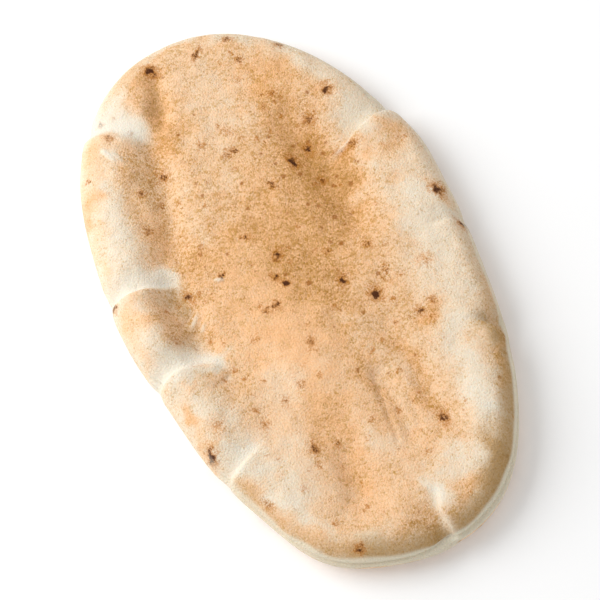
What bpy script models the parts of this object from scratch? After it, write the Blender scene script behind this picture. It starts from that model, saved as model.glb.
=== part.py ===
"""Oval pita bread: one puffed loaf of flat bread, pinched in folds along its rim, on its flat underside.

Metres, +Z up. The origin is the middle of the footprint, on the surface that the bread lies on. +X runs
along the bread's length and +Y across it. Its pocket is shut, so the bread is one solid right through.
"""

from collections import namedtuple

import bmesh
import bpy
import numpy as np

MM = 0.001  # the sizes below are in millimetres, and the finished points are in metres

# Driving dimensions
LENGTH = 219.0
WIDTH = 127.0
MIDDLE_HEIGHT = 12.5  # top of the bread in its middle
WIDEST_HEIGHT = 7.5  # height at which the bread is widest
FOOT = 9.0  # how far in from the outline the flat underside starts
SEAM_HEIGHT = 9.3  # where the upper and lower layers meet round the side
SEAM_DEPTH = 1.1
SEAM_BREADTH = 1.0

# Resolution of the solid
SEGMENTS = 144  # round the outline
RINGS = 35  # from the middle of the top to the middle of the underside
TOP_SHARE = 0.48  # of the rings, from the middle to the rim's crest
SHOULDER_SHARE = 0.27
SIDE_SHARE = 0.17  # below the widest line, down to the foot
LENGTHWAYS = 0.75  # power that spreads the inner rings along the bread
CROWD, CROWD_SPREAD = 2.2, 0.018  # how much denser the segments are at a fold, over what share of a turn

CRUST_COLOUR = (0.79, 0.60, 0.38, 1.0)

# The outline is an ellipse with broad swells and flats. Angle and spread are in degrees.
Swell = namedtuple("Swell", "angle spread out")
SWELLS = (
    Swell(15, 11, 2.2),
    Swell(62, 26, -2.4),
    Swell(116, 14, 2.6),
    Swell(148, 20, 1.7),
    Swell(206, 20, 5.1),
    Swell(289, 22, -2.7),
    Swell(338, 10, 4.4),
)

# At even steps round the outline from +X: how high the rim stands over the middle, how far in from the
# outline its crest lies, and the breadth of the slope from the crest down to the middle.
RIM_RISES = (2.0, 3.2, 2.8, 3.2, 2.6, 1.6, 1.2, 3.4, 4.6, 4.8, 3.8, 2.2)
SHOULDERS = (10, 8, 7, 7, 7, 9, 11, 14, 13, 12, 12, 11)
RIM_FALLS = (12, 12, 12, 12, 12, 12, 12, 10, 8, 9, 12, 16)

# Troughs in the top: each runs from a start to an end with a sideways bow.
Trough = namedtuple("Trough", "start end bow breadth depth")
TROUGHS = (
    Trough((-100, -7), (-78, -14), 0, 4, 2.4),
    Trough((-78, -20), (-28, -34), 2, 5.5, 2.8),
    Trough((-22, -39), (9, -40), -1, 6, 3.6),
    Trough((18, -37), (28, -40), 1, 6, 1.0),
    Trough((-60, 27), (-4, 29), 2, 9, 3.6),
    Trough((42, 9), (74, 8), 0, 4, 1.6),
    Trough((30, 19), (72, 20), 1, 5, 1.6),
    Trough((50, -12), (90, -18), 0, 9, 1.8),
    Trough((62, -13), (84, -17), 0, 5, 1.2),
)

# Swollen lobes of the top.
Lobe = namedtuple("Lobe", "centre reach rise")
LOBES = (
    Lobe((-18, 41), (19, 12), 2.4),
    Lobe((12, 38), (24, 11), 1.8),
    Lobe((40, 36), (18, 11), 1.4),
    Lobe((72, 33), (20, 12), 2.8),
    Lobe((-58, -50), (26, 10), 0.8),
    Lobe((-7, -53), (15, 9), 1.4),
    Lobe((32, -50), (15, 10), 0.8),
    Lobe((76, -38), (22, 14), 1.3),
    Lobe((98, -12), (10, 16), 0.8),
    Lobe((0, -8), (60, 20), 1.4),
    Lobe((26, -14), (20, 14), 0.8),
    Lobe((58, -3), (14, 8), 0.8),
)

# Folds across the rim, from the edge inwards. lip is the side whose wall stands steep: 1 is to the left of
# the way in, and -1 to its right. gentle and steep are the breadths of its two sides.
Fold = namedtuple("Fold", "edge inner bow lip depth gentle steep notch")
FOLDS = (
    Fold((-43, 58), (-37, 33), 0, 1, 5.4, 11, 4.8, 2.2),
    Fold((10, 62), (6, 49), 0, 1, 1.8, 6, 2.6, 1.2),
    Fold((60, 54), (45, 45), -2, 1, 4.2, 6, 3.6, 2.0),
    Fold((112, 3), (85, 6), 2, -1, 3.0, 8, 2.8, 1.0),
    Fold((-93, -40), (-77, -20), 2, -1, 2.0, 8, 5.5, 1.8),
    Fold((-27, -63), (-22, -35), 0, -1, 3.2, 6, 3.2, 1.8),
    Fold((12, -63), (15, -35), 4, -1, 3.6, 7, 3.0, 2.2),
    Fold((55, -57), (46, -35), 0, -1, 2.2, 6, 3.6, 1.8),
)
LIP_RISE = 0.26  # of a fold's depth, piled up behind its steep wall
LIP_BREADTH = 3.6
NOTCH_BREADTH = 3.4
FOLD_RUN = 0.4, 1.1  # the share of a fold's line over which it fades out inwards

# Slow unevenness of hand-rolled dough, with its directions and phases in degrees.
Wave = namedtuple("Wave", "length direction phase")
WAVES = (
    Wave(47, 20, 173),
    Wave(33, 75, 91),
    Wave(29, 140, 222),
    Wave(21, 110, 123),
    Wave(18, 35, 311),
)
WAVE_RISE = 0.22


def ease_between(low, high, value):
    """0 below low, 1 above high, and a smooth step between."""
    part = np.clip((value - low) / (high - low), 0, 1)
    return part * part * (3 - 2 * part)


def bell(distance, reach):
    """1 where the distance is nought, 0.37 at the reach, and falling to nothing."""
    return np.exp(-((distance / reach) ** 2))


def round_the_bread(values, theta):
    """A value that changes round the bread: the values at even angles, eased into each other."""
    place = (theta % (2 * np.pi)) / (2 * np.pi) * len(values)
    before = np.floor(place).astype(int) % len(values)
    ease = ease_between(0, 1, place % 1)
    values = np.array(values)
    return values[before] * (1 - ease) + values[(before + 1) % len(values)] * ease


def ellipse(theta):
    """Radius of the plain ellipse in the direction theta."""
    return 1 / np.hypot(2 * np.cos(theta) / LENGTH, 2 * np.sin(theta) / WIDTH)


def outline(theta):
    """Radius of the outline in the direction theta: the ellipse plus its swells."""
    radius = ellipse(theta)
    for swell in SWELLS:
        turn = (np.degrees(theta) - swell.angle + 180) % 360 - 180
        radius = radius + swell.out * bell(turn, swell.spread)
    return radius


def edge_reach(theta):
    """Distance from the outline to the middle, measured at right angles to the outline."""
    slope = np.hypot(np.cos(theta) / (LENGTH / 2) ** 2, np.sin(theta) / (WIDTH / 2) ** 2)
    return 1 / (ellipse(theta) * slope)


def along_and_left(x, y, start, end, bow):
    """Share of the way from start to end, distance to the left of the bowed line, and the line's length."""
    way = np.array(end, float) - start
    length = np.hypot(*way)
    way = way / length
    share = ((x - start[0]) * way[0] + (y - start[1]) * way[1]) / length
    left = (y - start[1]) * way[0] - (x - start[0]) * way[1]
    return share, left - bow * 4 * share * (1 - share), length


def top_height(x, y):
    """Height of the top: the middle, the rim round it, the troughs and lobes, and slow waves."""
    theta = np.arctan2(y, x)
    inset = (1 - np.hypot(x, y) / outline(theta)) * edge_reach(theta)
    past_crest = np.maximum(inset - round_the_bread(SHOULDERS, theta), 0)
    rim = round_the_bread(RIM_RISES, theta) * bell(past_crest, round_the_bread(RIM_FALLS, theta))
    z = MIDDLE_HEIGHT + rim
    for trough in TROUGHS:
        share, left, length = along_and_left(x, y, trough.start, trough.end, trough.bow)
        run_out = trough.breadth / length
        ends = ease_between(-run_out, run_out, share) * ease_between(-run_out, run_out, 1 - share)
        z = z - trough.depth * ends * bell(left, trough.breadth)
    for lobe in LOBES:
        along = (x - lobe.centre[0]) / lobe.reach[0]
        across = (y - lobe.centre[1]) / lobe.reach[1]
        z = z + lobe.rise * bell(np.hypot(along, across), 1)
    for wave in WAVES:
        turn = np.radians(wave.direction)
        travel = (x * np.cos(turn) + y * np.sin(turn)) / wave.length
        z = z + WAVE_RISE * np.sin(2 * np.pi * travel + np.radians(wave.phase))
    return z


def fold_in(x, y, z):
    """Presses the folds into the rim. Each has a gentle side, a steep wall and a lip behind the wall, and
    pulls the outline in by its notch. It fades out inwards, and down the side towards the underside."""
    side = np.clip(z / MIDDLE_HEIGHT, 0, 1)
    for fold in FOLDS:
        share, left, _ = along_and_left(x, y, fold.edge, fold.inner, fold.bow)
        lip_side = left * fold.lip
        along = 1 - ease_between(*FOLD_RUN, share)
        wall = 1 - ease_between(0, fold.steep, lip_side)
        across = np.where(lip_side > 0, wall, bell(lip_side, fold.gentle))
        lip = bell(lip_side - fold.steep - 1, LIP_BREADTH)
        z = z - fold.depth * along * side * (across - LIP_RISE * lip)
        at_rim = side * (1 - ease_between(0, 0.4, share))
        pull = fold.notch * at_rim * bell(left, NOTCH_BREADTH)
        away = np.hypot(x, y) + 1
        x, y = x - pull * x / away, y - pull * y / away
    return x, y, z


def crust_point(station, theta):
    """The bread's surface. Station 0 to 1 runs from the middle of the top to the rim's crest, 1 to 2 round
    the shoulder to the widest line, 2 to 3 down to the foot, and 3 to 4 under the bread to its middle."""
    shoulder = round_the_bread(SHOULDERS, theta) / edge_reach(theta)
    foot = FOOT / edge_reach(theta)
    over = np.radians(90) * np.clip(station - 1, 0, 1)
    under = np.radians(90) * np.clip(station - 2, 0, 1)
    level = np.select(
        (station <= 1, station <= 2, station <= 3),
        (station * (1 - shoulder), 1 - shoulder * (1 - np.sin(over)), 1 - foot * (1 - np.cos(under))),
        (1 - foot) * np.maximum(4 - station, 0),
    )
    x = level**LENGTHWAYS * outline(theta) * np.cos(theta)
    y = level * outline(theta) * np.sin(theta)
    z = np.where(
        station <= 2,
        WIDEST_HEIGHT + (top_height(x, y) - WIDEST_HEIGHT) * np.cos(over),
        WIDEST_HEIGHT * (1 - np.sin(under)),
    )
    seam = SEAM_DEPTH * bell(z - SEAM_HEIGHT, SEAM_BREADTH) * ease_between(1.3, 1.7, station)
    tuck = 1 - np.where(station < 3, seam, 0) / outline(theta)
    return fold_in(x * tuck, y * tuck, z)


def station_of(share):
    """Spreads the rings: many over the top and its shoulder, few under the bread."""
    ends = np.append(np.cumsum((0, TOP_SHARE, SHOULDER_SHARE, SIDE_SHARE)), 1)
    return np.interp(share, ends, range(5))


def crowd(turn):
    """Moves directions, in shares of a turn, towards the folds, so that the solid has more faces there."""
    even = np.linspace(0, 1, 2001)
    density = np.ones_like(even)
    for fold in FOLDS:
        at = np.arctan2(fold.edge[1] / WIDTH, fold.edge[0] / LENGTH) / (2 * np.pi)
        density += CROWD * bell((even - at + 0.5) % 1 - 0.5, CROWD_SPREAD)
    reached = np.concatenate(((0,), np.cumsum((density[1:] + density[:-1]) / 2)))
    return np.interp(turn, reached / reached[-1], even)


def make_crust():
    """A ball of dough, a UV sphere, rolled out: latitude picks the station and longitude the direction."""
    shape = bmesh.new()
    bmesh.ops.create_uvsphere(shape, u_segments=SEGMENTS, v_segments=RINGS, radius=1)
    ball = np.array([v.co for v in shape.verts])
    turn = 2 * np.pi * crowd(np.arctan2(ball[:, 1], ball[:, 0]) / (2 * np.pi) % 1)
    theta = np.arctan2(np.sin(turn) * WIDTH, np.cos(turn) * LENGTH)
    share = np.arccos(np.clip(ball[:, 2], -1, 1)) / np.pi
    points = np.stack(crust_point(station_of(share), theta), axis=1) * MM
    points[:, :2] -= (points[:, :2].min(axis=0) + points[:, :2].max(axis=0)) / 2
    for vert, point in zip(shape.verts, points):
        vert.co = point
    bmesh.ops.recalc_face_normals(shape, faces=shape.faces)
    mesh = bpy.data.meshes.new("pita")
    shape.to_mesh(mesh)
    shape.free()
    mesh.shade_smooth()
    return mesh


def crust_material():
    """Matt, pale golden baked crust."""
    material = bpy.data.materials.new("crust")
    material.use_nodes = True
    surface = material.node_tree.nodes["Principled BSDF"]
    surface.inputs["Base Color"].default_value = CRUST_COLOUR
    surface.inputs["Roughness"].default_value = 0.85
    surface.inputs["Metallic"].default_value = 0.0
    return material


for leftover in list(bpy.data.objects):
    bpy.data.objects.remove(leftover)
pita = bpy.data.objects.new("pita", make_crust())
pita.data.materials.append(crust_material())
bpy.context.scene.collection.objects.link(pita)
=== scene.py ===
"""The looks of an oval pita bread: one puffed, pinched loaf of flat bread on a pale studio floor."""

from collections import namedtuple

import bpy
import numpy as np
from mathutils import Matrix, Vector


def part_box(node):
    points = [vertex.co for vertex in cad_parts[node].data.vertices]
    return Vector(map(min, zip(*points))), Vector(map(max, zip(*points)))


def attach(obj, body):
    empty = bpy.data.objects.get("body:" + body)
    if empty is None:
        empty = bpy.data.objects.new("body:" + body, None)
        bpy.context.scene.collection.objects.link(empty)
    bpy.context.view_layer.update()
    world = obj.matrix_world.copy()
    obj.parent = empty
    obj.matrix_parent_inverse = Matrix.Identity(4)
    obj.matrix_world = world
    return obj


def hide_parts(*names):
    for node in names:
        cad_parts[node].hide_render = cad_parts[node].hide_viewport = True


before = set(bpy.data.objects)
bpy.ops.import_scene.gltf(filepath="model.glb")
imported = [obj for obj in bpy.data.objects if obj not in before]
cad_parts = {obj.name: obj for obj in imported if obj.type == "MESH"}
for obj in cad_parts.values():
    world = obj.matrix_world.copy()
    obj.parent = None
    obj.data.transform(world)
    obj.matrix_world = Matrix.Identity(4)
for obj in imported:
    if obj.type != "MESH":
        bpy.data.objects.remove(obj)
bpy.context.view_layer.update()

# =====================================================================================================
# The loaf: a round of white yeast dough, rolled out long, that puffed in a hot oven and sank again.
# Its rim stayed puffed while the middle fell, and the rim folded where it had too much skin. The oven
# toasted its middle gold, left the rim pale, and scorched small blisters to dark dots.
# =====================================================================================================

# The loaf takes the length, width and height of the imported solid. Lengths are in millimetres.
PER_METRE = 1000
LOAF_LOW, LOAF_HIGH = (PER_METRE * np.array(corner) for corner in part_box("pita"))
LENGTH, WIDTH, HEIGHT = LOAF_HIGH - LOAF_LOW

MIDDLE_HEIGHT = 0.675 * HEIGHT  # top of the loaf in its middle
WIDEST_HEIGHT = 0.40 * HEIGHT  # the loaf is widest here
FOOT = 9.0  # how far in from the outline the loaf starts to lie flat

COLUMNS, ROWS = 376, 216  # of the grid over the top
SIDE_RINGS, BASE_RINGS = 9, 4  # from the widest line down to the foot, and under the loaf
SHOULDER_SHARE = 0.22  # of the grid, outside the rim's crest

# The outline's swells and flats: angle and spread in degrees, and how far each stands out.
Swell = namedtuple("Swell", "angle spread out")
SWELLS = (
    Swell(15, 11, 2.2),
    Swell(62, 26, -2.4),
    Swell(116, 14, 2.6),
    Swell(148, 20, 1.7),
    Swell(206, 20, 5.1),
    Swell(289, 22, -2.7),
    Swell(338, 10, 4.4),
)

# Round the loaf, every 30 degrees from +X: the rim's rise over the middle, its crest's way in, and the
# breadth of the slope from the crest down to the middle.
RIM_RISES = (2.0, 3.2, 2.8, 3.2, 2.6, 1.6, 1.2, 3.4, 4.6, 4.8, 3.4, 1.6)
SHOULDERS = (10, 8, 7, 7, 7, 9, 11, 14, 13, 12, 12, 11)
RIM_FALLS = (12, 12, 12, 12, 12, 12, 12, 10, 8, 9, 12, 16)

# Troughs and thin creases in the top: each runs from a start to an end, with a sideways bow.
Trough = namedtuple("Trough", "start end bow breadth depth")
TROUGHS = (
    Trough((-100, -7), (-78, -14), 0, 4, 2.4),
    Trough((-78, -20), (-28, -34), 2, 5.5, 2.8),
    Trough((-22, -39), (9, -40), -1, 6, 3.6),
    Trough((18, -37), (28, -40), 1, 6, 1.0),
    Trough((-60, 27), (-4, 29), 2, 9, 3.6),
    Trough((42, 9), (74, 8), 0, 4, 1.6),
    Trough((30, 19), (72, 20), 1, 5, 1.6),
    Trough((50, -12), (90, -18), 0, 9, 1.8),
    Trough((62, -13), (84, -17), 0, 5, 1.2),
    Trough((44, 7), (71, 3), 0, 1.1, 0.6),
    Trough((52, 14), (70, 12), 0.5, 1.2, 0.4),
    Trough((-10, -35), (-5, -43), 0.5, 1.0, 0.5),
    Trough((-5, -34), (0, -41), 0.5, 1.0, 0.4),
    Trough((20, -34), (23, -42), 0, 1.0, 0.4),
)

# Swollen lobes of the top.
Lobe = namedtuple("Lobe", "centre reach rise")
LOBES = (
    Lobe((-18, 41), (19, 12), 2.4),
    Lobe((12, 38), (24, 11), 1.8),
    Lobe((40, 36), (18, 11), 1.4),
    Lobe((72, 33), (20, 12), 2.8),
    Lobe((-58, -50), (26, 10), 0.8),
    Lobe((-7, -53), (15, 9), 1.4),
    Lobe((32, -50), (15, 10), 0.8),
    Lobe((76, -38), (22, 14), 0.8),
    Lobe((98, -12), (10, 16), 0.8),
    Lobe((0, -8), (60, 20), 1.4),
    Lobe((26, -14), (20, 14), 0.8),
    Lobe((58, -3), (14, 8), 0.8),
)

# Thin flakes of dry skin that lifted off the top.
Flake = namedtuple("Flake", "centre reach turn rise")
FLAKES = (
    Flake((-77, -36), (3.6, 1.1), 20, 0.6),
    Flake((-75, -33.5), (3.0, 0.8), 20, 0.4),
    Flake((-13.5, -23), (1.8, 0.8), 60, 0.5),
    Flake((-5, -37.5), (2.6, 0.7), -50, 0.4),
    Flake((-1, -36), (2.0, 0.7), -50, 0.3),
)

# The rise and the length of the skin's slow waves, its bumps and its small blisters.
SKIN_WAVES = ((0.30, 30), (0.16, 11), (0.07, 4.5))

# A fold runs from the edge inwards. Its lip, to the left (1) or right (-1) of the way in, stands over its
# steep wall. pale and wall say how white the gentle side and the steep wall stayed, where they lay tucked
# in while the loaf baked. The notch is how far the fold pulls the outline in.
Fold = namedtuple("Fold", "edge inner bow lip depth gentle steep notch pale wall")
FOLDS = (
    Fold((-43, 58), (-37, 33), 0, 1, 6.2, 11, 2.0, 2.2, 0.1, 0.6),
    Fold((10, 62), (6, 49), 0, 1, 1.8, 6, 2.6, 1.2, 0.1, 0.2),
    Fold((60, 54), (45, 45), -2, 1, 5.5, 6, 2.0, 2.0, 0.0, 0.0),
    Fold((112, 3), (90, 6), 2, -1, 2.8, 8, 2.8, 1.0, 0.0, 0.5),
    Fold((-93, -40), (-77, -20), 2, -1, 2.0, 8, 5.5, 1.8, 1.0, 0.3),
    Fold((-27, -63), (-22, -35), 0, -1, 3.2, 6, 3.2, 1.8, 0.9, 0.1),
    Fold((12, -63), (15, -35), 4, -1, 3.4, 7, 3.4, 2.2, 0.9, 0.3),
    Fold((55, -57), (46, -35), 0, -1, 2.0, 6, 3.0, 1.8, 0.4, 0.2),
)
FOLD_RUN = 0.4, 1.1  # the share of a fold's line over which it fades out inwards
WHOLE_FOLD_HEIGHT = MIDDLE_HEIGHT + 3  # a fold has its whole depth from here up
LIP_RISE, LIP_BREADTH = 0.22, 4.0  # the lip's rise, of the fold's depth, and its breadth
LIP_GAP = 1.0  # from the foot of the wall to the lip's crest, past the wall's own breadth
OVERHANG, OVERHANG_BREADTH = 0.7, 1.6
NOTCH_BREADTH, NOTCH_RUN = 3.4, 0.4

# The seam runs round the side, where the two skins of the loaf meet, with a fainter crease below it.
SEAM_HEIGHT, SEAM_WANDER = 0.50 * HEIGHT, 0.6
SEAM_DEPTH, SEAM_BREADTH = 1.3, 0.7
SEAM_START = 1.4, 1.7  # stations between which the seam sets in, on the shoulder
CREASE_DROP, CREASE_WANDER, CREASE_DEPTH = 2.6, 0.5, 0.6


def ease_between(low, high, value):
    """0 below low and 1 above high, with a smooth step between."""
    part = np.clip((value - low) / (high - low), 0, 1)
    return part * part * (3 - 2 * part)


def hill(distance, reach):
    """A bell: 1 where the distance is nought, 0.37 at the reach, and falling to nothing."""
    return np.exp(-((distance / reach) ** 2))


def ripples(x, y, length, seed, waves=24):
    """Seeded unevenness from about -1 to 1: a sum of plane waves of about this length in all directions."""
    draw = np.random.default_rng(seed)
    turns = draw.uniform(0, 2 * np.pi, waves)
    pitches = 2 * np.pi / (length * draw.uniform(0.7, 1.5, waves))
    phases = draw.uniform(0, 2 * np.pi, waves)
    total = np.zeros_like(x)
    for turn, pitch, phase in zip(turns, pitches, phases):
        total += np.sin(pitch * (x * np.cos(turn) + y * np.sin(turn)) + phase)
    return total / np.sqrt(waves)


def uneven(x, y, waves, seed):
    """The sum of ripples of each amount and length, with seeds that count up from this one."""
    total = np.zeros_like(x)
    for number, (amount, length) in enumerate(waves):
        total += amount * ripples(x, y, length, seed + number)
    return total


def ellipse(theta):
    """Radius of the loaf's plain ellipse in the direction theta."""
    return 1 / np.sqrt((2 * np.cos(theta) / (LENGTH - 1)) ** 2 + (2 * np.sin(theta) / WIDTH) ** 2)


def outline(theta):
    """Radius of the outline: the ellipse, with a bell added for each swell."""
    radius = ellipse(theta)
    for swell in SWELLS:
        turn = (np.degrees(theta) - swell.angle + 180) % 360 - 180
        radius = radius + swell.out * hill(turn, swell.spread)
    return radius


def edge_reach(theta):
    """Distance from the outline to the middle, at right angles to the outline."""
    slope = np.hypot(np.cos(theta) / (LENGTH / 2) ** 2, np.sin(theta) / (WIDTH / 2) ** 2)
    return 1 / (ellipse(theta) * slope)


def inset_of(x, y, theta):
    """Distance in from the outline: the share of the radius left outside, times the edge's reach."""
    return (1 - np.hypot(x, y) / outline(theta)) * edge_reach(theta)


def round_the_loaf(values, theta):
    """A value that changes round the loaf, eased from each of the evenly spaced values to the next."""
    place = theta % (2 * np.pi) / (2 * np.pi) * len(values)
    before = np.floor(place).astype(int) % len(values)
    ease = ease_between(0, 1, place % 1)
    values = np.array(values)
    return values[before] * (1 - ease) + values[(before + 1) % len(values)] * ease


def along_and_left(x, y, start, end, bow):
    """Share of the way from start to end, distance to the left of the bowed line between them, the line's
    length, and its direction."""
    way = np.array(end, float) - start
    length = np.hypot(*way)
    way = way / length
    share = ((x - start[0]) * way[0] + (y - start[1]) * way[1]) / length
    left = (y - start[1]) * way[0] - (x - start[0]) * way[1]
    return share, left - bow * 4 * share * (1 - share), length, way


def turned(x, y, centre, turn):
    """Place along and across a line through the centre, turned by this many degrees from +X."""
    angle = np.radians(turn)
    east, north = x - centre[0], y - centre[1]
    return east * np.cos(angle) + north * np.sin(angle), north * np.cos(angle) - east * np.sin(angle)


def oval(x, y, spot, power):
    """A bell over a turned oval: e to the minus (away squared) to this power, and flatter at its top with
    a higher power. Away is 1 at the spot's reach along and across its turn."""
    along, across = turned(x, y, spot.centre, spot.turn)
    return np.exp(-(((along / spot.reach[0]) ** 2 + (across / spot.reach[1]) ** 2) ** power))


def flake_rise(x, y):
    """Height of the flakes: each an oval, domed in its middle and falling off fast at its rim."""
    return sum(flake.rise * oval(x, y, flake, 2) for flake in FLAKES)


def top_height(x, y):
    """Height of the top: the middle, plus the rim as a bell over its crest, less the troughs, plus the
    lobes and the flakes, plus slow waves of hand-rolled dough and small uneven blisters."""
    theta = np.arctan2(y, x)
    past_crest = np.maximum(inset_of(x, y, theta) - round_the_loaf(SHOULDERS, theta), 0)
    rim = round_the_loaf(RIM_RISES, theta) * hill(past_crest, round_the_loaf(RIM_FALLS, theta))
    z = MIDDLE_HEIGHT + rim
    for trough in TROUGHS:
        share, left, length, _ = along_and_left(x, y, trough.start, trough.end, trough.bow)
        run_out = trough.breadth / length
        ends = ease_between(-run_out, run_out, share) * ease_between(-run_out, run_out, 1 - share)
        z = z - trough.depth * ends * hill(left, trough.breadth)
    for lobe in LOBES:
        away = np.hypot((x - lobe.centre[0]) / lobe.reach[0], (y - lobe.centre[1]) / lobe.reach[1])
        z = z + lobe.rise * hill(away, 1)
    return z + flake_rise(x, y) + uneven(x, y, SKIN_WAVES, 1)


def fold_in(x, y, z):
    """Presses the folds into the rim: a gentle bell on one side, a steep eased wall on the other, a lip
    piled up behind the wall and leaning over it, and a notch in the outline. All fade out inwards and
    downwards."""
    side = np.clip(z / WHOLE_FOLD_HEIGHT, 0, 1)
    for fold in FOLDS:
        share, left, _, way = along_and_left(x, y, fold.edge, fold.inner, fold.bow)
        lip_side = left * fold.lip
        along = 1 - ease_between(*FOLD_RUN, share)
        wall = 1 - ease_between(0, fold.steep, lip_side)
        across = np.where(lip_side > 0, wall, hill(lip_side, fold.gentle))
        lip = hill(lip_side - fold.steep - LIP_GAP, LIP_BREADTH)
        z = z - fold.depth * along * side * (across - LIP_RISE * lip)
        lean = OVERHANG * along * side * hill(lip_side - fold.steep, OVERHANG_BREADTH) * fold.lip
        x, y = x + lean * way[1], y - lean * way[0]
        pull = fold.notch * side * (1 - ease_between(0, NOTCH_RUN, share)) * hill(left, NOTCH_BREADTH)
        away = np.hypot(x, y) + 1
        x, y = x - pull * x / away, y - pull * y / away
    return x, y, z


def seam_groove(z, theta):
    """Depth of the seam and of the crease below it: two bells over the height, that wander a little up and
    down round the loaf as sums of sines."""
    wander = SEAM_WANDER * (np.sin(3 * theta + 1) + 0.6 * np.sin(7 * theta)) / 1.6
    above = z - SEAM_HEIGHT - wander
    crease = above + CREASE_DROP + CREASE_WANDER * np.sin(5 * theta)
    return SEAM_DEPTH * hill(above, SEAM_BREADTH) + CREASE_DEPTH * hill(crease, SEAM_BREADTH)


def loaf_point(station, theta):
    """The loaf's skin. Station 0 to 1 runs from the middle of the top to the rim's crest, 1 to 2 round the
    shoulder to the widest line, 2 to 3 down to the foot, and 3 to 4 under the loaf to its middle. The
    shoulder and the side are quarter ellipses. Returns the place, and the place on the flat dough."""
    shoulder, foot = round_the_loaf(SHOULDERS, theta) / edge_reach(theta), FOOT / edge_reach(theta)
    over = np.radians(90) * np.clip(station - 1, 0, 1)
    under = np.radians(90) * np.clip(station - 2, 0, 1)
    level = np.select(
        (station <= 1, station <= 2, station <= 3),
        (station * (1 - shoulder), 1 - shoulder * (1 - np.sin(over)), 1 - foot * (1 - np.cos(under))),
        (1 - foot) * np.maximum(4 - station, 0),
    )
    flat_x, flat_y = level * outline(theta) * np.cos(theta), level * outline(theta) * np.sin(theta)
    crown = WIDEST_HEIGHT + (top_height(flat_x, flat_y) - WIDEST_HEIGHT) * np.cos(over)
    z = np.where(station <= 2, crown, WIDEST_HEIGHT * (1 - np.sin(under)))
    x, y, z = fold_in(flat_x, flat_y, z)
    groove = seam_groove(z, theta) * ease_between(*SEAM_START, station) * (station < 3)
    return np.stack((x - groove * np.cos(theta), y - groove * np.sin(theta), z), axis=1), flat_x, flat_y


def disc_grid(columns, rows):
    """A rectangular grid mapped onto a disc: each square ring of the grid becomes a circle. Returns each
    grid point's radius, 0 to 1, and its direction."""
    across, up = np.meshgrid(np.linspace(-1, 1, columns + 1), np.linspace(-1, 1, rows + 1))
    wide = np.abs(across) >= np.abs(up)
    radius = np.where(wide, across, up)
    other = np.where(wide, up, across) / np.where(radius == 0, 1, radius)
    turn = np.where(wide, np.radians(45) * other, np.radians(90) - np.radians(45) * other)
    return np.abs(radius).ravel(), (turn + np.where(radius < 0, np.pi, 0)).ravel()


def grid_faces(numbers):
    """The four-cornered faces between neighbouring points of a grid of point numbers."""
    corners = (numbers[:-1, :-1], numbers[:-1, 1:], numbers[1:, 1:], numbers[1:, :-1])
    return np.stack(corners, axis=-1).reshape(-1, 4)


# The grid covers the top out to the widest line, rings of its edge points go on down the side and under
# the loaf, and one last point closes the underside.
radius, turn = disc_grid(COLUMNS, ROWS)
numbers = np.arange(radius.size).reshape(ROWS + 1, COLUMNS + 1)
edge = np.concatenate((numbers[0, :-1], numbers[:-1, -1], numbers[-1, :0:-1], numbers[:0:-1, 0]))
top_station = np.interp(radius, (0, 1 - SHOULDER_SHARE, 1), (0, 1, 2))
side_stations = np.linspace(2, 3, SIDE_RINGS + 1)[1:]
base_stations = np.linspace(3, 4, BASE_RINGS + 2)[1:-1]
ring_stations = np.concatenate((side_stations, base_stations))
station = np.concatenate((top_station, np.repeat(ring_stations, edge.size), (4,)))
turn = np.concatenate((turn, np.tile(turn[edge], ring_stations.size), (0,)))
theta = np.arctan2(WIDTH * np.sin(turn), LENGTH * np.cos(turn))

rings = radius.size + np.arange(ring_stations.size * edge.size).reshape(ring_stations.size, edge.size)
wall = np.vstack((edge, rings))
wall = np.hstack((wall, wall[:, :1]))
top_faces = grid_faces(numbers)
wall_faces = grid_faces(wall)[:, ::-1]
last = rings[-1]
base_faces = np.stack((np.roll(last, -1), last, np.full(last.size, station.size - 1)), axis=1)

points, flat_x, flat_y = loaf_point(station, theta)
low, high = points.min(axis=0), points.max(axis=0)
points = LOAF_LOW + (points - low) / (high - low) * (LOAF_HIGH - LOAF_LOW)

mesh = bpy.data.meshes.new("pita_loaf")
mesh.from_pydata(points / PER_METRE, [], top_faces.tolist() + wall_faces.tolist() + base_faces.tolist())
mesh.shade_smooth()
loaf = bpy.data.objects.new("pita_loaf", mesh)
bpy.context.scene.collection.objects.link(loaf)

# The browning, with some painted shade and light, painted on the loaf's points as shares from 0 to 1.
MIDDLE_TOAST, RIM_TOAST = 0.60, 0.28  # the warmth of the skin's own colour, from white flour to orange
MIDDLE_BROWN, RIM_BROWN = 0.46, 0.18  # how thick the golden brown specks lie on it
MOST_BROWN = 0.85  # where the specks are thickest, some skin still shows between them
BASE_TOAST, BASE_BROWN = 0.45, 0.35  # the underside
PALE_EDGE = 0.5, 1.3  # shares of the pale rim's breadth, from which and up to which it turns gold

# Round the loaf, every 30 degrees from +X: breadth of the pale rim, the browning of its outer edge with
# painted shade where that edge turns from the lamp, and how bare the side is below that edge.
PALE_REACHES = (6, 22, 27, 25, 21, 10, 4, 16, 18, 13, 17, 14)
RIM_BROWNS_AND_SHADE = (0.58, 0.48, 0.24, 0.10, 0.04, 0.06, 0.14, 0.02, 0.03, 0.05, 0.08, 0.30)
WALL_BARE = (1.0, 1.0, 0.8, 0.6, 0.5, 0.5, 0.4, 0.2, 0.1, 0.2, 0.1, 0.8)
RIM_BROWN_INSET, RIM_BROWN_BREADTH = 2, 6
RIM_TAN_AND_SHADE, RIM_SPECKS, RIM_WARMTH = 1.6, 0.5, 0.2  # what the outer edge's browning and painted shade add to each layer
CRUST_EDGE = 1.55  # station of the browned skin's edge on the shoulder
CRUST_EDGE_BREADTH = 0.12
BASE_EDGE, BASE_EDGE_BREADTH = 2.06, 0.08  # station where the underside's skin starts

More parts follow.
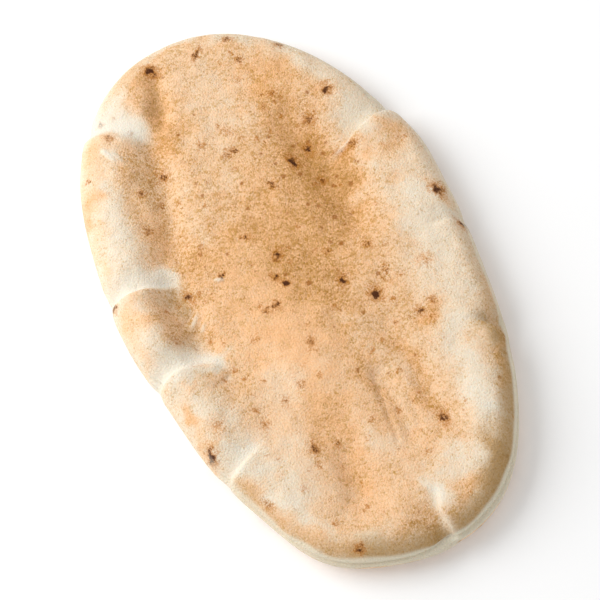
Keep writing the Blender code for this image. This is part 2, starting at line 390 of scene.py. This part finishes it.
# The amount and the length of the waves that make the browning uneven.
PALE_EDGE_WAVES = ((2.5, 14),)
PATCH_WAVES = ((2.2, 15), (0.8, 5))
TOAST_WAVES = ((0.02, 7),)
BROWN_WAVES = ((0.05, 9), (0.04, 4))
FOLD_WAVES = ((0.8, 8),)
MARK_WAVES = ((0.6, 2.4),)
CRUST_EDGE_WAVES = ((0.04, 16),)
BASE_EDGE_WAVES = ((0.05, 12),)
BASE_WAVES = ((0.25, 10),)

# Where the skin took a warmer colour, or a paler one where the amount is below nought. Some warmer patches
# are painted shade in troughs, and some paler ones are painted light on slopes that turn from the lamp.
Patch = namedtuple("Patch", "centre reach turn amount")
PATCH_POWER = 1.4
TOAST_AND_SHADING = (
    Patch((90, -1), (6, 6), 0, -0.12),
    # painted light: paler where the slope turns from the lamp
    Patch((66, -30), (16, 8), 0, -0.20),
    Patch((18, -47), (5, 5), 0, -0.14),
    Patch((44, -49), (4, 4), 0, -0.16),
    Patch((-22, 43), (14, 5), 0, -0.08),
    Patch((60, 42), (10, 4), 0, 0.08),
    Patch((12, -2), (26, 7), 0, 0.06),
    Patch((72, -10), (30, 26), 0, 0.05),
    Patch((-64, -27), (16, 4), -14, -0.08),
    Patch((-76, 27), (8, 6), 0, 0.16),
    Patch((-88, -16), (22, 10), -10, 0.10),
    Patch((-18, -54), (9, 5), 0, 0.14),
    Patch((-15, 56), (6, 4), 0, 0.10),
    Patch((58, 42), (10, 3), -5, 0.10),
    Patch((28, -12), (16, 8), 0, 0.06),
    Patch((-30, 25), (28, 8), 0, 0.20),
    Patch((-72, -14), (10, 5), -8, 0.12),
    # painted shade in the trough by the near end
    Patch((74, -14), (10, 5), -8, 0.12),
    Patch((90, 28), (6, 5), -40, 0.10),
    Patch((-30, 20), (36, 16), 0, 0.12),
    Patch((-44, 30), (14, 8), 0, 0.10),
    Patch((-26, 33), (14, 4), -10, 0.16),
    Patch((-68, 24), (9, 6), 0, 0.10),
    Patch((-6, 4), (34, 14), 8, 0.22),
    Patch((0, -18), (34, 14), 0, 0.14),
    Patch((-12, 0), (6, 3), 0, 0.08),
    Patch((-22, -24), (6, 10), 10, 0.10),
    Patch((-14, -38), (8, 5), 0, -0.14),
    Patch((2, -42), (6, 5), 0, -0.06),
    Patch((42, 20), (8, 4), 0, 0.12),
    Patch((62, 19), (10, 4), 0, 0.10),
    Patch((48, 4), (20, 3.5), 3, 0.12),
    Patch((50, -13), (13, 7), 0, 0.14),
    Patch((57, -22), (5, 4), 0, 0.10),
    Patch((-70, -22), (7, 4), -30, 0.06),
    Patch((-62, -29), (10, 3), -20, 0.04),
    Patch((-88, -12), (12, 4), -25, 0.08),
    Patch((-40, -34), (10, 4), -10, 0.10),
    Patch((34, 35), (3, 5), 0, 0.30),
    Patch((-30, 55), (7, 6), 0, 0.42),
    Patch((-34, 42), (3, 5), 0, 0.30),
    Patch((-25, 47), (5, 4), 0, 0.22),
    Patch((-14, 48), (3, 4), 0, 0.20),
    Patch((-3, 58), (6, 3), 0, 0.24),
    Patch((18, 42), (3, 4), 0, 0.14),
    Patch((95, 24), (7, 15), 38, 0.06),
    Patch((62, 47), (13, 2), -12, 0.30),
    Patch((40, 54), (12, 3), -5, 0.16),
    Patch((95, -27), (4, 4), 0, 0.24),
    Patch((84, -38), (12, 4.5), 32, 0.36),
    Patch((66, -47), (10, 4), 14, 0.30),
    Patch((43, -54), (7, 2.5), 4, 0.36),
    Patch((28, -52.5), (5, 2.5), 20, 0.50),
    Patch((19, -50), (3, 3), 0, 0.30),
    Patch((37, -51), (3, 4), 0, 0.34),
    Patch((-12, -55), (8, 4), 0, 0.18),
    Patch((-61, -52), (10, 5), -10, 0.40),
    Patch((-82, -39), (14, 5), -30, 0.34),
    Patch((-104, -16), (8, 10), 0, 0.14),
    Patch((-90, -28), (10, 6), -20, 0.12),
    Patch((-38, -57), (14, 2.5), -5, 0.16),
    Patch((2, -59), (12, 2.5), 0, 0.20),
    Patch((-60, 44), (4, 4), 0, 0.26),
    Patch((-80, 33), (10, 4), 28, 0.16),
    Patch((-84, 23), (4, 4), 0, 0.10),
)

# Where flour or a lighter bake kept the skin pale.
PALE = (
    Patch((100, -15), (6, 6), 0, 0.30),
    Patch((46, -28), (12, 6), 0, 0.18),
    Patch((68, -1), (12, 6), 0, 0.20),
    Patch((56, 27), (24, 4), -3, 0.14),
    Patch((-46, 47), (8, 9), 0, 0.7),
    Patch((58, 36), (20, 6), -6, 0.7),
    Patch((74, 31), (6, 5), 0, 0.5),
    Patch((88, 16), (6, 8), 0, 0.66),
    Patch((92, 5), (10, 3.5), 8, 0.85),
    Patch((8, 50), (20, 6), 0, 0.35),
    Patch((-88, -25), (11, 3.5), -6, 0.75),
    Patch((-98, -32), (12, 4), -30, 0.7),
    Patch((-75, -36), (6, 5), 0, 0.35),
    Patch((-69, -43), (6, 4), 0, 0.3),
    Patch((-46, -45), (16, 5), -8, 0.7),
    Patch((-27, -55), (5, 7), 0, 0.7),
    Patch((-23, -38), (3, 5), 0, 0.75),
    Patch((2, -51), (12, 3.5), 0, 0.6),
    Patch((28, -22), (12, 6), 0, 0.15),
    Patch((15, -38), (3.5, 7), 0, 0.85),
    Patch((12, -50), (5, 7), 0, 0.6),
    Patch((33, -43), (6, 7), 0, 0.5),
    Patch((51, -46), (2.5, 9), 20, 0.75),
    Patch((64, -38), (18, 6), 0, 0.60),
    Patch((-80, 6), (26, 9), 0, 0.24),
    Patch((-62, -2), (10, 5), 0, 0.16),
    Patch((-46, -5), (5, 6), 0, 0.22),
    Patch((-38, -21), (8, 4), 0, 0.18),
    Patch((-54, -19), (8, 4), 0, 0.16),
    Patch((32, -20), (8, 6), 0, 0.26),
    Patch((24, 11), (8, 3), 0, 0.14),
    Patch((50, 12), (22, 3), -3, 0.12),
    Patch((70, -4), (6, 9), 0, 0.14),
)
PALE_LOSS = 0.8  # the share of the browning that a wholly pale place lacks

# Where the golden brown specks lie thicker, or thinner where the amount is below nought. Some thicker
# patches are painted shade in troughs and recesses, and some thinner ones are painted light on slopes that
# turn from the lamp.
BROWNING_AND_SHADING = (
    Patch((-52, 14), (12, 7), 0, 0.12),
    Patch((32, -8), (12, 10), 0, -0.08),
    Patch((72, -10), (34, 30), 0, -0.16),
    # painted shade: olive specks in the shaded valley inside the left rim
    Patch((-64, -27), (18, 4), -14, 0.14),
    Patch((104, 0), (5, 5), 0, 0.30),
    Patch((-40, -28), (14, 5), -8, 0.12),
    Patch((28, -12), (16, 8), 0, -0.10),
    Patch((46, -27), (14, 7), 0, -0.18),
    Patch((68, 2), (10, 6), 0, -0.10),
    Patch((-26, 26), (28, 8), 0, 0.12),
    Patch((-72, -14), (10, 5), -8, 0.16),
    # painted shade in the trough by the near end
    Patch((74, -14), (10, 5), -8, 0.14),
    Patch((-8, 4), (34, 10), 5, 0.16),
    Patch((-26, -12), (20, 8), 0, 0.08),
    Patch((90, 28), (6, 5), -40, 0.16),
    Patch((-46, 30), (12, 7), 0, 0.20),
    Patch((-28, 33), (13, 5), -12, 0.22),
    Patch((-34, 20), (16, 10), 0, 0.16),
    Patch((-12, 20), (14, 12), 0, 0.16),
    Patch((0, 3), (12, 6), 0, 0.12),
    Patch((9, 11), (10, 8), 0, 0.16),
    Patch((-66, 25), (10, 5), 0, 0.18),
    Patch((-24, -26), (7, 10), 0, 0.14),
    Patch((-70, -22), (8, 4), -30, 0.12),
    Patch((-56, -30), (12, 3), -20, 0.08),
    Patch((-88, -13), (12, 3), -20, 0.12),
    Patch((-14, -38), (8, 4), 0, 0.10),
    Patch((1, -43), (6, 4), 0, 0.10),
    Patch((62, 19), (11, 4), 0, 0.20),
    Patch((44, 20), (8, 4), 0, 0.12),
    Patch((48, 4), (18, 3.5), 3, 0.16),
    Patch((54, -13), (12, 6), 0, 0.16),
    Patch((57, -22), (5, 4), 0, 0.16),
    Patch((-30, 55), (7, 6), 0, 0.20),
    Patch((-34, 40), (3, 4), 0, 0.24),
    Patch((-3, 58), (5, 3), 0, 0.16),
    Patch((34, 34), (4, 5), 0, 0.14),
    Patch((101, -1), (6, 7), 0, 0.20),
    Patch((62, 47), (12, 2.5), -15, 0.20),
    # painted shade in the recess of the fold at (60, 54)
    Patch((54, 49), (8, 2.5), 25, 0.34),
    Patch((20, -10), (24, 12), 0, -0.24),
    Patch((18, -25), (20, 8), 0, -0.16),
    Patch((-10, -13), (14, 7), 0, -0.10),
    # painted light: fewer specks where the slope turns from the lamp
    Patch((62, -32), (20, 8), 0, -0.20),
    Patch((44, -50), (5, 4), 0, -0.10),
    Patch((-76, 4), (18, 10), 0, -0.10),
)

# Where the crust is laid with an olive tan: painted shade in the hollows along the rim and in a fold's
# recess, painted shade over real browning on the near end's edge, and real browning on parts of the outer
# edge.
TANNED_AND_SHADED = (
    Patch((-15, -38), (8, 3.5), -4, 0.60),
    Patch((1, -42), (7, 3), -8, 0.45),
    Patch((-64, -28), (14, 3), -16, 0.36),
    Patch((-42, -31), (12, 4), -8, 0.22),
    Patch((-88, -13), (12, 3), -20, 0.36),
    Patch((-88, -17), (20, 8), -10, 0.10),
    Patch((-24, 28), (20, 6), -4, 0.16),
    Patch((-28, 34), (9, 3), -8, 0.24),
    Patch((90, 27), (9, 7), -40, 0.55),
    Patch((104, 2), (5, 5), 0, 0.22),
    Patch((100, -20), (8, 5), 60, 0.24),
    Patch((-12, -55), (9, 4), 0, 0.10),
    Patch((-60, -52), (9, 4), -6, 0.34),
    Patch((-90, -34), (24, 6), -25, 0.16),
    Patch((-104, -14), (8, 8), 0, 0.16),
    Patch((28, -53), (7, 4), 0, 0.16),
    Patch((38, -52), (3, 5), 0, 0.24),
    Patch((60, -50), (8, 3), 10, 0.14),
    # painted shade in the recess of the fold at (60, 54)
    Patch((50, 46), (9, 2.5), -12, 0.36),
    Patch((-30, 54), (6, 5), 0, 0.26),
)

# Scorched blisters: place, radius, how dark (1 is darkest), how much longer they are one way, and the
# angle of that way from +X.
Scorch = namedtuple("Scorch", "x y radius dark stretch turn")
SCORCHES = (
    Scorch(-101, -8, 1.5, 1.0, 1.5, 30),
    Scorch(-98, 9.5, 0.9, 0.9, 2.4, -50),
    Scorch(-98, 22, 0.9, 0.7, 1.5, 60),
    Scorch(-86, 37, 1.0, 0.6, 1.5, 20),
    Scorch(-87, 21.5, 1.1, 0.6, 1.2, 0),
    Scorch(-81, 18, 0.9, 0.35, 1.0, 0),
    Scorch(-64, 5.5, 1.2, 0.3, 1.5, 0),
    Scorch(-64, -5.5, 1.2, 0.35, 1.5, 20),
    Scorch(-56, 4, 0.9, 0.75, 1.3, 30),
    Scorch(-55.5, 1, 1.2, 0.6, 1.0, 0),
    Scorch(-60, 43.5, 1.3, 0.95, 1.3, -20),
    Scorch(-54, 33, 1.7, 0.55, 1.2, 60),
    Scorch(-44, 27, 1.2, 0.85, 1.6, 10),
    Scorch(-41.5, 20, 1.3, 1.0, 1.7, 0),
    Scorch(-39, 22.5, 0.8, 0.5, 1.0, 0),
    Scorch(-36.5, 9.5, 1.0, 0.8, 1.8, 20),
    Scorch(-37, 13, 0.7, 0.5, 1.0, 0),
    Scorch(-30, 26, 1.1, 0.6, 1.3, 0),
    Scorch(-69, 26, 1.1, 0.45, 1.5, 60),
    Scorch(-66, 21, 0.9, 0.4, 1.2, 0),
    Scorch(-61.5, -22.5, 1.2, 0.8, 1.4, 20),
    Scorch(-58, -32, 1.2, 0.55, 1.0, 0),
    Scorch(-51, -28, 1.0, 0.4, 1.0, 0),
    Scorch(-43.5, -36.5, 1.0, 0.6, 1.4, 30),
    Scorch(-83, -33, 1.0, 0.55, 1.4, 30),
    Scorch(-92, -33.5, 0.8, 0.7, 1.2, 0),
    Scorch(-72, -47, 0.7, 0.6, 1.0, 0),
    Scorch(-22.5, -7.5, 0.8, 0.75, 1.5, 70),
    Scorch(-28, -23, 1.0, 0.4, 1.0, 0),
    Scorch(-14, -35, 1.1, 0.7, 2.0, 15),
    Scorch(-14, -21.5, 0.7, 0.9, 1.3, 0),
    Scorch(1, -46, 0.9, 0.35, 1.3, 0),
    Scorch(-23, -60, 0.9, 0.7, 1.5, 0),
    Scorch(-11, -1, 1.3, 0.8, 1.4, -40),
    Scorch(-9.5, -2.5, 0.9, 0.7, 1.3, 10),
    Scorch(-3.5, -5.5, 0.9, 0.95, 1.5, 20),
    Scorch(0, -3.5, 0.9, 0.95, 1.5, 30),
    Scorch(6, -10, 1.2, 0.75, 1.1, 0),
    Scorch(6, -14, 0.9, 0.65, 1.2, 60),
    Scorch(9, 14, 1.2, 0.9, 1.4, -10),
    Scorch(19.5, 21.5, 1.6, 1.0, 1.3, 0),
    Scorch(2, 28, 0.9, 0.55, 2.0, 30),
    Scorch(-3.5, 14.5, 0.9, 0.5, 1.2, 0),
    Scorch(13, 28.5, 1.0, 0.5, 1.8, -20),
    Scorch(16.5, 26.5, 0.9, 0.5, 1.2, 0),
    Scorch(-3, 58, 1.6, 0.8, 1.5, 10),
    Scorch(-28, 57, 1.2, 0.35, 1.0, 0),
    Scorch(12.5, 59.5, 1.0, 0.75, 2.2, 20),
    Scorch(18, 42, 1.4, 0.3, 1.4, 30),
    Scorch(33.5, 31.5, 1.3, 0.65, 1.3, 0),
    Scorch(32.5, 37, 1.0, 0.5, 1.2, 0),
    Scorch(38, 34, 1.0, 0.35, 1.2, 0),
    Scorch(34, 27.5, 0.7, 0.5, 1.0, 0),
    Scorch(32.5, 22.5, 0.6, 0.6, 1.0, 0),
    Scorch(24.5, -6, 1.2, 0.5, 1.4, 0),
    Scorch(36.5, -16, 0.9, 0.6, 1.3, 0),
    Scorch(38.5, -23, 1.0, 0.5, 1.3, 0),
    Scorch(13.5, -22, 1.0, 0.3, 1.0, 0),
    Scorch(58.5, -22.5, 1.1, 0.65, 1.8, 0),
    Scorch(60.5, -15, 0.9, 0.6, 1.3, 0),
    Scorch(71, 20, 1.4, 0.75, 1.8, 0),
    Scorch(43.5, -54, 1.2, 1.0, 1.9, -10),
    Scorch(97.5, -25.5, 1.1, 0.85, 1.3, 30),
    Scorch(68.5, -45, 0.9, 0.5, 2.0, 20),
    Scorch(70, -32, 0.9, 0.3, 1.0, 0),
    Scorch(43, -33, 1.2, 0.35, 1.3, 0),
    Scorch(36, -47, 1.2, 0.35, 1.3, 0),
    Scorch(-36, 36.5, 1.4, 0.45, 1.6, 60),
    Scorch(-35, 41, 1.2, 0.5, 1.6, 70),
    Scorch(70, -52, 0.8, 0.4, 1.0, 0),
)
HALO_REACH = 1.8  # of a blister's radius

# Small freckles without a black heart: how many there are, and their lowest and highest x, y and radius.
FRECKLES = 260
FRECKLE_LOW, FRECKLE_HIGH = (-100, -55, 0.5), (100, 55, 1.1)
FRECKLE_DARK = 0.65


def spread(patches, x, y):
    """The patches' amounts at each place: the sum of a turned, flat-topped bell for each one."""
    total = np.zeros_like(x)
    for patch in patches:
        total += patch.amount * oval(x, y, patch, PATCH_POWER)
    return total


def dough_waves(waves, seed):
    """Unevenness over the whole of the flat dough."""
    return uneven(flat_x, flat_y, waves, seed)


inset = inset_of(flat_x, flat_y, theta)
patch_x = flat_x + dough_waves(PATCH_WAVES, 13)
patch_y = flat_y + dough_waves(PATCH_WAVES, 15)
pale_reach = round_the_loaf(PALE_REACHES, theta)
inwards = ease_between(*PALE_EDGE, (inset + dough_waves(PALE_EDGE_WAVES, 17)) / pale_reach)
kept = 1 - PALE_LOSS * np.clip(spread(PALE, patch_x, patch_y), 0, 1)
# The rim's outer edge: real browning, with painted shade where it turns from the lamp.
rim_brown_and_shade = round_the_loaf(RIM_BROWNS_AND_SHADE, theta) * hill(inset - RIM_BROWN_INSET, RIM_BROWN_BREADTH)

# The olive tan: painted shade in the hollows and on the edge turned from the lamp, over real browning.
tan = np.clip((RIM_TAN_AND_SHADE * rim_brown_and_shade + spread(TANNED_AND_SHADED, patch_x, patch_y)) * kept, 0, 1)
toast = RIM_TOAST + (MIDDLE_TOAST - RIM_TOAST) * inwards + RIM_WARMTH * rim_brown_and_shade
toast = (toast + spread(TOAST_AND_SHADING, patch_x, patch_y) + dough_waves(TOAST_WAVES, 12)) * kept
brown = RIM_BROWN + (MIDDLE_BROWN - RIM_BROWN) * inwards + RIM_SPECKS * rim_brown_and_shade
brown = (brown + spread(BROWNING_AND_SHADING, patch_x, patch_y) + dough_waves(BROWN_WAVES, 18)) * kept
brown = MOST_BROWN * np.tanh(brown / MOST_BROWN)

# The folds' insides, and the flakes, are white. The white of a fold has a round end.
FLAKE_WHITE = 1.2  # for each millimetre that a flake rises
WHITE_END, WHITE_END_REACH = 0.8, 5  # the share of a fold's line where its white ends, and over what length
WHITE_BREADTH, LEAST_WHITE_BREADTH = 0.8, 0.5  # of the gentle side's breadth, and in millimetres

white = FLAKE_WHITE * flake_rise(flat_x, flat_y)
for fold in FOLDS:
    share, left, length, _ = along_and_left(flat_x, flat_y, fold.edge, fold.inner, fold.bow)
    lip_side = left * fold.lip + dough_waves(FOLD_WAVES, 20)
    end = hill(np.maximum(share - WHITE_END, 0) * length, WHITE_END_REACH)
    tucked = fold.pale * hill(lip_side, WHITE_BREADTH * fold.gentle * end + LEAST_WHITE_BREADTH)
    tucked = tucked * (1 - ease_between(0, fold.steep, lip_side))
    bare_wall = fold.wall * hill(lip_side / fold.steep - 0.5, 0.6)
    white = np.maximum(white, end * np.maximum(tucked, bare_wall))
tan *= 1 - white
toast *= 1 - 0.8 * white
brown *= 1 - 0.9 * white

mark_x = flat_x + dough_waves(MARK_WAVES, 21)
mark_y = flat_y + dough_waves(MARK_WAVES, 22)
scorch, halo = np.zeros_like(flat_x), np.zeros_like(flat_x)
for spot in SCORCHES:
    along, across = turned(mark_x, mark_y, (spot.x, spot.y), spot.turn)
    away = np.hypot(along / spot.stretch, across)
    scorch = np.maximum(scorch, spot.dark * hill(away, spot.radius))
    halo = np.maximum(halo, (0.3 + 0.5 * spot.dark) * hill(away, HALO_REACH * spot.radius))
draw = np.random.default_rng(41)
for freckle_x, freckle_y, size in draw.uniform(FRECKLE_LOW, FRECKLE_HIGH, (FRECKLES, 3)):
    away = np.hypot(mark_x - freckle_x, mark_y - freckle_y)
    halo = np.maximum(halo, FRECKLE_DARK * size * hill(away, size) * (0.4 + 0.6 * inwards))

on_top = station <= 2
crust_edge = CRUST_EDGE + dough_waves(CRUST_EDGE_WAVES, 31)
base_edge = BASE_EDGE + dough_waves(BASE_EDGE_WAVES, 33)
under = ease_between(0, BASE_EDGE_BREADTH, station - base_edge)
bare = round_the_loaf(WALL_BARE, theta) * ease_between(0, CRUST_EDGE_BREADTH, station - crust_edge)
layers = {
    "toast": toast * (1 - under) + BASE_TOAST * under,
    "brown": brown * (1 - under) + (BASE_BROWN + dough_waves(BASE_WAVES, 34)) * under,
    "tan": tan * (1 - under),
    "white": white,
    "wall": bare * (1 - under),
    "scorch": scorch * on_top,
    "halo": halo * on_top,
}
for name, values in layers.items():
    mesh.attributes.new(name, "FLOAT", "POINT").data.foreach_set("value", values.astype(np.float32))


def srgb(red, green, blue):
    """A screen colour, 0 to 255, as the linear colour that a shader takes."""
    screen = np.array((red, green, blue)) / 255
    linear = np.where(screen <= 0.04045, screen / 12.92, ((screen + 0.055) / 1.055) ** 2.4)
    return (*linear.tolist(), 1.0)


# The skin's finish: matt, dry and finely grained, from white flour through cream and gold to dark brown.
SKIN_COLOURS = (
    (0.00, srgb(238, 230, 212)),
    (0.20, srgb(243, 223, 196)),
    (0.40, srgb(249, 211, 172)),
    (0.60, srgb(250, 196, 145)),
    (0.80, srgb(234, 176, 118)),
    (1.00, srgb(196, 150, 96)),
)
SPECK_COLOURS = (
    (0.00, srgb(202, 170, 104)),
    (0.50, srgb(200, 146, 68)),
    (1.00, srgb(164, 110, 40)),
)
OCHRE = srgb(166, 98, 24)
# An olive tan: browning, and painted shade in hollows and on edges turned from the lamp.
OLIVE_TAN_AND_SHADE = srgb(182, 144, 88)
HALO_BROWN = srgb(190, 118, 30)
SCORCHED = srgb(84, 42, 10)
TUCKED_WHITE = srgb(238, 231, 216)
BARE_DOUGH = srgb(242, 233, 210)

# Sizes of the skin's patterns, in metres as the shader's coordinates are.
GRAIN, CRUMB, DOT, CLOUD = 0.0006, 0.0008, 0.0028, 0.006
RELIEF = 0.0006

SKIN_FINISH = {
    "Roughness": 0.82,
    "Specular IOR Level": 0.25,
    "Subsurface Weight": 0.08,
    "Subsurface Radius": (1.0, 0.6, 0.35),
    "Subsurface Scale": 0.0025,
}


def set_finish(surface, finish):
    """Sets the surface shader's own sockets to these values."""
    for socket, value in finish.items():
        surface.inputs[socket].default_value = value


def add_node(material, kind, settings=(), **inputs):
    """Adds a shader node. The settings are its properties. The inputs are its sockets' values, or what feeds
    them: a socket goes by its name, or as i0, i1 and so on by its number."""
    node = material.node_tree.nodes.new(kind)
    for name, value in dict(settings).items():
        setattr(node, name, value)
    for name, value in inputs.items():
        by_number = name[0] == "i" and name[1:].isdigit()
        socket = node.inputs[int(name[1:])] if by_number else node.inputs[name]
        if isinstance(value, bpy.types.NodeSocket):
            material.node_tree.links.new(value, socket)
        else:
            socket.default_value = value
    return node


def maths(material, operation, first, second, third=0.0):
    """A sum, product or other operation on numbers."""
    settings = {"operation": operation}
    return add_node(material, "ShaderNodeMath", settings, i0=first, i1=second, i2=third).outputs[0]


def times_plus(material, value, factor, rest):
    """The value times the factor, plus the rest."""
    return maths(material, "MULTIPLY_ADD", value, factor, rest)


def laid_over(material, colour, new, share, most=1.0):
    """A new colour laid over a colour by a share, and at most this thick."""
    share = maths(material, "MULTIPLY", share, most)
    return add_node(material, "ShaderNodeMix", {"data_type": "RGBA"}, i0=share, i6=colour, i7=new).outputs[2]


def painted(material, name):
    """The value that the browning left at each point."""
    return add_node(material, "ShaderNodeAttribute", {"attribute_name": name}).outputs["Fac"]


def mottle(material, place, size, detail=2.0, rough=0.5):
    """Noise with patches of this size in metres, centred on nought."""
    inputs = {"Vector": place, "Scale": 1 / size, "Detail": detail, "Roughness": rough}
    noise = add_node(material, "ShaderNodeTexNoise", **inputs)
    return maths(material, "SUBTRACT", noise.outputs["Fac"], 0.5)


def crumbs(material, place, size):
    """Round crumbs of this size in metres: each one's own value, centred on nought, and its height, which
    falls from its middle to its edge."""
    cells = add_node(material, "ShaderNodeTexVoronoi", {"feature": "F1"}, Vector=place, Scale=1 / size)
    value = maths(material, "SUBTRACT", cells.outputs["Color"], 0.5)
    return value, maths(material, "SUBTRACT", 0.5, cells.outputs["Distance"])


def step(material, value, low, high):
    """0 below low, 1 above high, and a smooth step between."""
    settings = {"interpolation_type": "SMOOTHSTEP"}
    return add_node(material, "ShaderNodeMapRange", settings, i0=value, i1=low, i2=high).outputs[0]


def ramp_of(material, colours, value):
    """A colour that runs through these colours as the value goes from 0 to 1."""
    ramp = add_node(material, "ShaderNodeValToRGB", Fac=value)
    stops = ramp.color_ramp.elements
    stops[0].position, stops[0].color = colours[0]
    stops[1].position, stops[1].color = colours[-1]
    for position, colour in colours[1:-1]:
        stops.new(position).color = colour
    return ramp.outputs["Color"]


crust = bpy.data.materials.new("crust")
crust.use_nodes = True
skin = crust.node_tree.nodes["Principled BSDF"]
place = add_node(crust, "ShaderNodeTexCoord").outputs["Object"]
toasted, browned = painted(crust, "toast"), painted(crust, "brown")
grain = mottle(crust, place, GRAIN, 3.0, 0.7)
clouds = mottle(crust, place, CLOUD)
crumb, crumb_height = crumbs(crust, place, CRUMB)
dot, dot_height = crumbs(crust, place, DOT)

# The bare skin's colour follows how warm it got.
warmth = times_plus(crust, clouds, 0.20, maths(crust, "MULTIPLY", toasted, 0.8))
warmth = times_plus(crust, grain, 0.55, warmth)
colour = ramp_of(crust, SKIN_COLOURS, warmth)

# Fine golden specks, then sparse ochre dots, cover more of it where it is browned.
specks = step(crust, times_plus(crust, crumb, 0.8, times_plus(crust, grain, 1.3, browned)), 0.22, 1.00)
colour = laid_over(crust, colour, ramp_of(crust, SPECK_COLOURS, browned), specks, 0.95)
dot_level = times_plus(crust, browned, 1.0, times_plus(crust, dot, 0.9, dot_height))
dots = step(crust, times_plus(crust, grain, 0.4, dot_level), 0.92, 1.20)
colour = laid_over(crust, colour, OCHRE, dots, 0.75)

# The tan with its painted shade, and the halos and black hearts of the blisters, all have ragged edges.
tanned_and_shaded = step(crust, times_plus(crust, grain, 0.7, painted(crust, "tan")), 0.0, 1.0)
colour = laid_over(crust, colour, OLIVE_TAN_AND_SHADE, tanned_and_shaded, 0.8)
haloed = step(crust, times_plus(crust, grain, 1.2, painted(crust, "halo")), 0.10, 0.65)
colour = laid_over(crust, colour, HALO_BROWN, haloed, 0.8)
scorched = step(crust, times_plus(crust, grain, 1.2, painted(crust, "scorch")), 0.25, 0.75)
colour = laid_over(crust, colour, SCORCHED, scorched)

# The folds' insides and the bare side lie over all that, as the oven's heat hardly reached them.
colour = laid_over(crust, colour, TUCKED_WHITE, painted(crust, "white"), 0.6)
colour = laid_over(crust, colour, BARE_DOUGH, painted(crust, "wall"), 0.9)

# The relief is stronger where the skin is browned.
relief = times_plus(crust, crumb_height, 0.5, grain)
relief = maths(crust, "MULTIPLY", relief, times_plus(crust, browned, 1.0, 0.60))
bump = add_node(crust, "ShaderNodeBump", Height=relief, Distance=RELIEF, Strength=0.9)
crust.node_tree.links.new(colour, skin.inputs["Base Color"])
crust.node_tree.links.new(bump.outputs["Normal"], skin.inputs["Normal"])
set_finish(skin, SKIN_FINISH)
mesh.materials.append(crust)

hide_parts("pita")
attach(loaf, "root")

# =====================================================================================================
# The studio: a plain white floor, one big soft lamp low on the loaf's far left, and an even white room.
# The camera looks down along the loaf from its near end, turned a little to one side.
# =====================================================================================================

FLOOR_SIDE = 3.0
FLOOR_FINISH = {
    "Base Color": (0.93, 0.93, 0.93, 1),
    "Roughness": 0.9,
    "Specular IOR Level": 0.1,
    "Emission Color": (1, 1, 1, 1),
    "Emission Strength": 0.09,
}

floor_level = LOAF_LOW[2] / PER_METRE
signs = ((-1, -1), (1, -1), (1, 1), (-1, 1))
corners = [(x * FLOOR_SIDE / 2, y * FLOOR_SIDE / 2, floor_level) for x, y in signs]
floor_mesh = bpy.data.meshes.new("floor")
floor_mesh.from_pydata(corners, [], [(0, 1, 2, 3)])
floor = bpy.data.objects.new("floor", floor_mesh)
bpy.context.scene.collection.objects.link(floor)
matt_white = bpy.data.materials.new("matt_white")
matt_white.use_nodes = True
set_finish(matt_white.node_tree.nodes["Principled BSDF"], FLOOR_FINISH)
floor_mesh.materials.append(matt_white)

LAMP_TURN = np.radians(228)
LAMP_ELEVATION = np.radians(41)
LAMP_DISTANCE = 0.9
LAMP_SIDE = 0.8
LAMP_WATTS = 7.5
ROOM_LIGHT = 0.58


def direction(turn, elevation):
    """The unit vector at this turn round from +X, raised by this elevation."""
    return Vector((np.cos(turn) * np.cos(elevation), np.sin(turn) * np.cos(elevation), np.sin(elevation)))


lamp = bpy.data.lights.new("soft_lamp", "AREA")
lamp.energy = LAMP_WATTS
lamp.size = LAMP_SIDE
lamp_stand = bpy.data.objects.new("soft_lamp", lamp)
lamp_stand.location = direction(LAMP_TURN, LAMP_ELEVATION) * LAMP_DISTANCE
lamp_stand.rotation_euler = direction(LAMP_TURN, LAMP_ELEVATION).to_track_quat("Z", "Y").to_euler()
bpy.context.scene.collection.objects.link(lamp_stand)

room = bpy.data.worlds.new("room")
room.use_nodes = True
room.node_tree.nodes["Background"].inputs["Color"].default_value = (1, 1, 1, 1)
room.node_tree.nodes["Background"].inputs["Strength"].default_value = ROOM_LIGHT
bpy.context.scene.world = room
bpy.context.scene.view_settings.view_transform = "Standard"

VIEW_TURN = np.radians(-6.6)
VIEW_ELEVATION = np.radians(65)
VIEW_ROLL = np.radians(-22.5)
VIEW_DISTANCE = 0.8
VIEW_CENTRE = Vector((0.0068, -0.0026, 0.009))
LENS, SENSOR = 138.8, 36.0

camera = bpy.data.cameras.new("camera")
camera.lens = LENS
camera.sensor_width = SENSOR
back = direction(VIEW_TURN, VIEW_ELEVATION)
level_right = Vector((0, 0, 1)).cross(back).normalized()
level_up = back.cross(level_right)
right = level_right * np.cos(VIEW_ROLL) + level_up * np.sin(VIEW_ROLL)
up = back.cross(right)
camera_stand = bpy.data.objects.new("camera", camera)
axes = Matrix((right, up, back)).transposed().to_4x4()
camera_stand.matrix_world = Matrix.Translation(VIEW_CENTRE + back * VIEW_DISTANCE) @ axes
bpy.context.scene.collection.objects.link(camera_stand)
bpy.context.scene.camera = camera_stand
